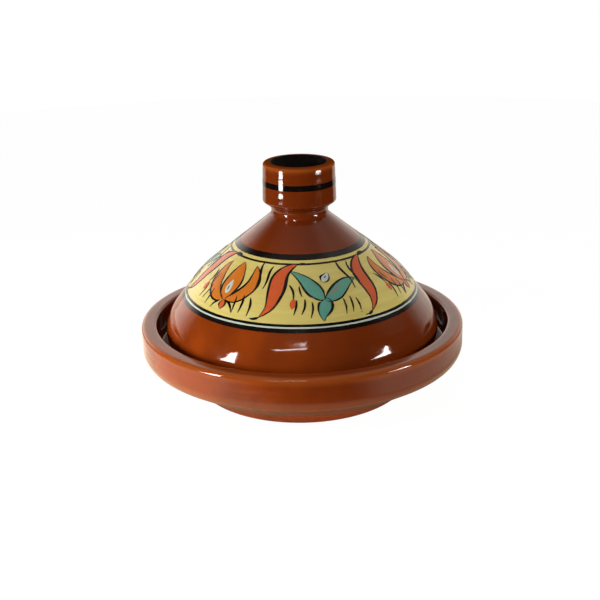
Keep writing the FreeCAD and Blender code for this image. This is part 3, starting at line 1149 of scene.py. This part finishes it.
class TAGINE_OT_figures(bpy.types.Operator):
    """Paint flowers, leaf sprays, long leaves and grass on the yellow field"""

    bl_idname = "tagine.figures"
    bl_label = "Painted figures"

    def execute(self, context):
        size = context.scene.tagine_paint
        bands = context.scene.tagine_bands
        colours = context.scene.tagine_colours
        field = bpy.data.objects["lid_yellow_field"]
        radii = [vertex.co.xy.length for vertex in field.data.vertices]
        ends = Vector((max(radii), bands.field_low)), Vector((min(radii), bands.rule_low))
        patterns = {make.__name__: draw_figure(make(size.line_width)) for make in FIGURES}
        laid = paint_round_lid(size, ends, patterns)
        for flats in patterns.values():
            for flat in flats.values():
                bpy.data.objects.remove(flat)
        materials = {
            "red": brushed_slip("red", colours.red),
            "orange": brushed_slip("orange", colours.orange),
            "teal": brushed_slip("teal", colours.teal),
            "pale": bpy.data.materials["pale_slip_under_clear_glaze"],
            "black": bpy.data.materials["black_slip_under_clear_glaze"],
        }
        coats = {"black": size.line_coat, "pale": size.heart_coat}
        for slip, copies in laid.items():
            paint = join_pieces(copies, f"lid_{slip}_figures")
            apply_modifier(paint, "SHRINKWRAP", target=field, wrap_method="NEAREST_SURFACEPOINT")
            thicken(
                paint, coats.get(slip, size.fill_coat), COAT_OUTWARD,
                vertex_group="load", thickness_vertex_group=LEAST_LOAD,
            )
            paint.vertex_groups.clear()
            finish_piece(paint, materials[slip], "lid")
        return {"FINISHED"}


# The table, and the paper behind it: where it starts, in degrees to the right of the camera, how many
# degrees it goes round, how far off it stands, how high it is, and in how many steps it is swept
TABLE_SIDE = 8
PAPER_START = 119
PAPER_TURN = 122
PAPER_DISTANCE = 1.6
PAPER_HEIGHT = 1.5
SHEET_STEPS = 48

# How bright the table is in the glaze, in smooth steps. They follow the distance from the pot's axis, or
# the way to the spot: X is -1 on the left and 1 on the right, and Y is -1 in front and 1 behind.
FRONT_IS_DARK = (-0.95, -0.72, 0.02, 1.0)
LEFT_IS_BRIGHTER = (-0.8, 0.8, 1.35, 0.8)
RING_STARTS = (0.17, 0.24, 0.0, 1.0)
RING_ENDS = (0.3, 0.44, 1.0, 0.0)
PATCH_STARTS = (0.1, 0.18, 0.09, 0.75)
PATCH_ENDS = (0.17, 0.27, 1.0, 0.0)
PATCH_IS_WIDER_LEFT = (-0.6, 0.0, 0.84, 1.0)
PATCH_IS_BRIGHTER_LEFT = (-0.8, 0.2, 2.2, 1.0)
BACK_STARTS = (0.56, 0.72, 0.0, 0.95)
BACK_FADES = (0.85, 1.0, 1.0, 0.6)
TINT_PALES = (0.16, 0.26, 0.0, 1.0)

# What the table throws back at the clay
SPILL_ENDS = (0.1, 0.31, 1.07, 0.0)
SPILL_IS_BRIGHTER_RIGHT = (-0.8, 0.8, 0.95, 1.2)

# The table's own white, its warm light near the pot and further out, and how the camera sees it: how
# bright, and with how little shadow
TABLE_WHITE = linear("e7e7e7")
TABLE_NEAR = linear("ffe7bc")
TABLE_FAR = linear("fff1df")
TABLE_SEEN = 1.07
TABLE_EVEN = 0.9

# The paper lights the clay less than the camera sees it.
PAPER_ON_CLAY = (0.0, 1.0, 1.0, 0.3)

# How bright the air is in the glaze. Its steps follow the way to the spot: X is -1 on the left and 1 on
# the right, Y is 1 behind, Z is 1 above, and the panel's step follows how near to its middle it is.
PAPER_BEHIND = (0.35, 0.75, 0.0, 1.0)
PAPER_FADES_UP = (0.2, 0.85, 1.0, 0.2)
PAPER_IS_BRIGHTER_LEFT = (-0.75, 0.75, 1.8, 1.0)
CEILING = (0.75, 1.0, 0.03, 0.26)
PANEL = (0.87, 1.0, 0.0, 0.42)
PANEL_TURN = 118
PANEL_RISE = 50

# The air's tint in the glaze, its white for the camera, and how little it lights the clay
AIR_TINT = linear("fff6ec")
AIR_SEEN = linear("ffffff")
AIR_ON_CLAY = 0.05

# Lamps that light the clay: degrees to the right of the camera and up, how far off, the height that this
# starts from, how wide and high the lamp is, and which power it has
Lamp = namedtuple("Lamp", "name turn rise distance height across up power")
LAMPS = (
    Lamp("key_lamp", -66, 0, 0.8, 0.22, 0.15, 0.36, "key_power"),
    Lamp("side_lamp", 60, 22, 1.0, 0.1, 0.22, 0.18, "side_power"),
    Lamp("bar_lamp", -8, 47, 1.2, 0.1, 0.4, 0.025, "bar_power"),
)
LAMPS_AIM = Vector((0, 0, 0.1))

# The lamps' faces, which the glaze mirrors: corners by degrees to the right and height, how bright they
# are, and on which side. In the smooth step by which they fade, their brightness is the fourth value.
Face = namedtuple("Face", "name corners strength side")
LEFT, ABOVE, RIGHT = -1, 0, 1
FACE_DISTANCE = 0.8
UPRIGHT_FACES = (
    Face("key_face", ((-66, 0.025), (-52, 0.035), (-53, 0.39)), 36, LEFT),
    Face("side_face", ((52, 0.1), (70, 0.095), (69, 0.3)), 30, RIGHT),
)
FACE_FADES = (-0.02, 0.0, 0.0)

# The bar's face hangs over the lid's front. Its corners are seen from there, by degrees to the right and
# up.
BAR_FACE = Face("bar_face", ((-30, 44.5), (6, 52.2), (6, 53.8), (-30, 46.5)), 30, ABOVE)
BAR_DISTANCE = 1.2
LID_FRONT = Vector((-0.01, -0.117, 0.084))


def white_table():
    """White table: the camera sees it as the white background, with what shadow there is.

    The glaze sees it warm and bright close to the pot, beside it and behind it, but dark in front,
    and the clay is lit by what it throws back close to the foot.
    """
    material, tree = new_material("white_table")
    ray = add_node(tree, "ShaderNodeLightPath").outputs
    place = add_node(tree, "ShaderNodeTexCoord").outputs["Object"]
    reach = add_node(
        tree, "ShaderNodeVectorMath", {"operation": "LENGTH"}, {0: place}
    ).outputs["Value"]
    way = add_node(tree, "ShaderNodeVectorMath", {"operation": "NORMALIZE"}, {0: place})
    axes = add_node(tree, "ShaderNodeSeparateXYZ", links={0: way.outputs["Vector"]}).outputs
    ring = grade(
        tree, (axes["Y"], FRONT_IS_DARK), (axes["X"], LEFT_IS_BRIGHTER), (reach, RING_ENDS),
        (reach, RING_STARTS),
    )
    # The light patch round the foot reaches further out on the left, and is brighter there.
    wider = grade(tree, (axes["X"], PATCH_IS_WIDER_LEFT))
    drawn_in = add_node(
        tree, "ShaderNodeMath", {"operation": "MULTIPLY"}, {0: reach, 1: wider}
    ).outputs[0]
    patch = grade(
        tree, (reach, PATCH_STARTS), (drawn_in, PATCH_ENDS), (axes["X"], PATCH_IS_BRIGHTER_LEFT)
    )
    behind = grade(tree, (axes["Y"], BACK_STARTS), (axes["Y"], BACK_FADES))
    strength = ring
    for other in (patch, behind):
        strength = add_node(
            tree, "ShaderNodeMath", {"operation": "MAXIMUM"}, {0: strength, 1: other}
        ).outputs[0]
    tint = add_node(
        tree, "ShaderNodeMix",
        {"data_type": "RGBA", MIX_BELOW: (*TABLE_NEAR, 1), MIX_ABOVE: (*TABLE_FAR, 1)},
        {0: grade(tree, (reach, TINT_PALES))},
    ).outputs[MIX_RESULT]
    mirrored_glow = add_node(
        tree, "ShaderNodeEmission", links={"Color": tint, "Strength": strength}
    ).outputs[0]
    spill = add_node(
        tree, "ShaderNodeEmission", {"Color": (*TABLE_FAR, 1)},
        {"Strength": grade(tree, (reach, SPILL_ENDS), (axes["X"], SPILL_IS_BRIGHTER_RIGHT))},
    ).outputs[0]
    matt = add_node(tree, "ShaderNodeBsdfDiffuse", {"Color": (*TABLE_WHITE, 1)}).outputs[0]
    white = add_node(tree, "ShaderNodeEmission", {"Strength": TABLE_SEEN}).outputs[0]
    on_clay = add_node(tree, "ShaderNodeAddShader", links={0: matt, 1: spill}).outputs[0]
    seen = add_node(tree, "ShaderNodeMixShader", {0: TABLE_EVEN}, {1: matt, 2: white}).outputs[0]
    unseen = add_node(
        tree, "ShaderNodeMixShader", links={0: ray["Is Glossy Ray"], 1: on_clay, 2: mirrored_glow}
    ).outputs[0]
    mix = add_node(
        tree, "ShaderNodeMixShader", links={0: ray["Is Camera Ray"], 1: unseen, 2: seen}
    )
    add_node(tree, "ShaderNodeOutputMaterial", links={"Surface": mix.outputs[0]})
    return material


def white_paper():
    """White backdrop paper: white for the camera, and a weak light from behind for the clay."""
    material, tree = new_material("white_paper")
    ray = add_node(tree, "ShaderNodeLightPath").outputs
    lit = grade(tree, (ray["Is Diffuse Ray"], PAPER_ON_CLAY))
    glow = add_node(tree, "ShaderNodeEmission", links={"Strength": lit})
    add_node(tree, "ShaderNodeOutputMaterial", links={"Surface": glow.outputs[0]})
    return material


def lamp_face(strength, side):
    """The white face of a lamp on the left, above or on the right.

    One at a side shines only at the front half of the pot, so it never glares along the edge of the
    back. One above shines all round.
    """
    material, tree = new_material("lamp_face")
    spot = add_node(tree, "ShaderNodeNewGeometry").outputs
    swing = add_node(
        tree, "ShaderNodeVectorMath", {"operation": "CROSS_PRODUCT"},
        {0: spot["Position"], 1: spot["Incoming"]},
    )
    past = add_node(tree, "ShaderNodeSeparateXYZ", links={0: swing.outputs["Vector"]}).outputs["Z"]
    front = add_node(tree, "ShaderNodeMath", {"operation": "MULTIPLY", 1: -side}, {0: past})
    shine = grade(tree, (front.outputs[0], (*FACE_FADES, strength)))
    glow = add_node(tree, "ShaderNodeEmission", links={"Strength": shine})
    add_node(tree, "ShaderNodeOutputMaterial", links={"Surface": glow.outputs[0]})
    return material


def bearing(turn_degrees, rise_degrees, distance, height):
    """A place seen from the pot: degrees to the right of the camera, degrees up, and how far."""
    turn = math.radians(turn_degrees)
    rise = math.radians(rise_degrees)
    level = distance * math.cos(rise)
    return Vector((level * math.sin(turn), -level * math.cos(turn), height + distance * math.sin(rise)))


def light_the_air(scene):
    """White for the camera.

    The glaze sees a dim ceiling, a soft panel high on the right, and white paper behind the pot that
    fades upward and is brighter on the left.
    """
    world = bpy.data.worlds.new("studio_air")
    scene.world = world
    world.use_nodes = True
    tree = world.node_tree
    tree.nodes.clear()
    ray = add_node(tree, "ShaderNodeLightPath").outputs
    way = add_node(tree, "ShaderNodeTexCoord").outputs["Generated"]
    axes = add_node(tree, "ShaderNodeSeparateXYZ", links={0: way}).outputs
    paper = grade(
        tree, (axes["Y"], PAPER_BEHIND), (axes["Z"], PAPER_FADES_UP),
        (axes["X"], PAPER_IS_BRIGHTER_LEFT),
    )
    nearness = add_node(
        tree, "ShaderNodeVectorMath",
        {"operation": "DOT_PRODUCT", 1: bearing(PANEL_TURN, PANEL_RISE, 1.0, 0.0)}, {0: way},
    ).outputs["Value"]
    shine = grade(tree, (axes["Z"], CEILING))
    for other in (grade(tree, (nearness, PANEL)), paper):
        shine = add_node(
            tree, "ShaderNodeMath", {"operation": "ADD"}, {0: shine, 1: other}
        ).outputs[0]
    dim = add_node(
        tree, "ShaderNodeMix", {"data_type": "FLOAT", "B": AIR_ON_CLAY},
        {0: ray["Is Diffuse Ray"], "A": shine},
    )
    strength = add_node(
        tree, "ShaderNodeMix", {"data_type": "FLOAT", "B": 1.0},
        {0: ray["Is Camera Ray"], "A": dim.outputs[0]},
    )
    tint = add_node(
        tree, "ShaderNodeMix",
        {"data_type": "RGBA", MIX_BELOW: (*AIR_TINT, 1), MIX_ABOVE: (*AIR_SEEN, 1)},
        {0: ray["Is Camera Ray"]},
    )
    glow = add_node(
        tree, "ShaderNodeBackground",
        links={"Color": tint.outputs[MIX_RESULT], "Strength": strength.outputs[0]},
    )
    add_node(tree, "ShaderNodeOutputWorld", links={"Surface": glow.outputs[0]})


def sweep_sheet(name, start, rise, turn_degrees):
    """A sheet swept round the pot's axis from one upright edge."""
    sheet = drag_line(name, [start, start + Vector((0, 0, rise))])
    bpy.ops.mesh.select_all(action="SELECT")
    bpy.ops.mesh.spin(
        steps=SHEET_STEPS, angle=-math.radians(turn_degrees), center=(0, 0, 0), axis=(0, 0, 1)
    )
    bpy.ops.object.mode_set(mode="OBJECT")
    return sheet


def hang_lamp(lamp, watts):
    """Hang an oblong lamp that faces the pot and lights the clay."""
    deselect()
    place = bearing(lamp.turn, lamp.rise, lamp.distance, lamp.height)
    bpy.ops.object.light_add(type="AREA", location=place)
    light = bpy.context.object
    light.name = lamp.name
    light.data.shape = "RECTANGLE"
    light.data.size = lamp.across
    light.data.size_y = lamp.up
    light.data.energy = watts
    light.rotation_mode = "QUATERNION"
    light.rotation_quaternion = (LAMPS_AIM - place).to_track_quat("-Z", "Y")
    light.visible_glossy = False


def hang_face(face, corners):
    """Hang the flat white face of a lamp, drawn through its corners, which only the glaze shows."""
    card = drag_line(face.name, corners)
    bpy.ops.mesh.select_all(action="SELECT")
    bpy.ops.mesh.edge_face_add()
    bpy.ops.object.mode_set(mode="OBJECT")
    card.data.materials.append(lamp_face(face.strength, face.side))
    card.visible_camera = False
    card.visible_diffuse = False
    card.visible_shadow = False


class TAGINE_OT_studio(bpy.types.Operator):
    """Set up the floor, the backdrop, the lamps and the camera"""

    bl_idname = "tagine.studio"
    bl_label = "Studio"

    def execute(self, context):
        size = context.scene.tagine_studio
        deselect()
        bpy.ops.mesh.primitive_plane_add(size=TABLE_SIDE)
        floor = context.object
        floor.name = "floor"
        floor.data.materials.append(white_table())
        edge = bearing(PAPER_START, 0, PAPER_DISTANCE, 0)
        sweep = sweep_sheet("backdrop", edge, PAPER_HEIGHT, PAPER_TURN)
        sweep.data.materials.append(white_paper())
        sweep.visible_glossy = False

        for lamp in LAMPS:
            hang_lamp(lamp, getattr(size, lamp.power))
        for face in UPRIGHT_FACES:
            hang_face(face, [bearing(turn, 0, FACE_DISTANCE, height) for turn, height in face.corners])
        bar = [bearing(turn, rise, BAR_DISTANCE, 0) for turn, rise in BAR_FACE.corners]
        hang_face(BAR_FACE, [LID_FRONT + corner for corner in bar])
        light_the_air(context.scene)

        place = Vector((size.camera_side, -size.camera_back, size.camera_height))
        aim = Vector((size.camera_side, 0, size.aim_height))
        bpy.ops.object.camera_add(location=place)
        camera = context.object
        camera.data.lens = size.lens
        view = aim - place
        camera.rotation_mode = "QUATERNION"
        camera.rotation_quaternion = view.to_track_quat("-Z", "Y")
        camera.rotation_quaternion.rotate(Matrix.Rotation(size.roll, 3, -view))
        context.scene.camera = camera
        context.scene.view_settings.view_transform = "Standard"
        return {"FINISHED"}


class TAGINE_PT_panel(bpy.types.Panel):
    """Lists the steps that make the pot."""

    bl_label = "Tagine pot"
    bl_idname = "TAGINE_PT_panel"
    bl_space_type = "VIEW_3D"
    bl_region_type = "UI"
    bl_category = "Tagine"

    def draw(self, context):
        for step in STEPS:
            self.layout.operator(step.bl_idname)


# The sizes and colours, by the name that a scene holds them under
GROUPS = {
    "tagine_dish": DishSizes,
    "tagine_lid": LidSizes,
    "tagine_knob": KnobSizes,
    "tagine_bands": BandSizes,
    "tagine_paint": PaintSizes,
    "tagine_colours": GlazeColours,
    "tagine_studio": StudioSizes,
}

# What makes the pot and its studio, in order
STEPS = (
    TAGINE_OT_dish, TAGINE_OT_lid, TAGINE_OT_knob, TAGINE_OT_bands, TAGINE_OT_figures, TAGINE_OT_studio
)


def register():
    """Add the classes to Blender, and the sizes and colours to its scenes."""
    for kind in (*GROUPS.values(), *STEPS, TAGINE_PT_panel):
        bpy.utils.register_class(kind)
    for name, group in GROUPS.items():
        setattr(bpy.types.Scene, name, PointerProperty(type=group))


def unregister():
    """Take them out again."""
    for name in GROUPS:
        delattr(bpy.types.Scene, name)
    for kind in reversed((*GROUPS.values(), *STEPS, TAGINE_PT_panel)):
        bpy.utils.unregister_class(kind)


def main():
    """Make the pot and its studio."""
    register()
    bpy.ops.tagine.dish()
    bpy.ops.tagine.lid()
    bpy.ops.tagine.knob()
    bpy.ops.tagine.bands()
    bpy.ops.tagine.figures()
    bpy.ops.tagine.studio()
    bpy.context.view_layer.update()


if __name__ == "__main__":
    main()
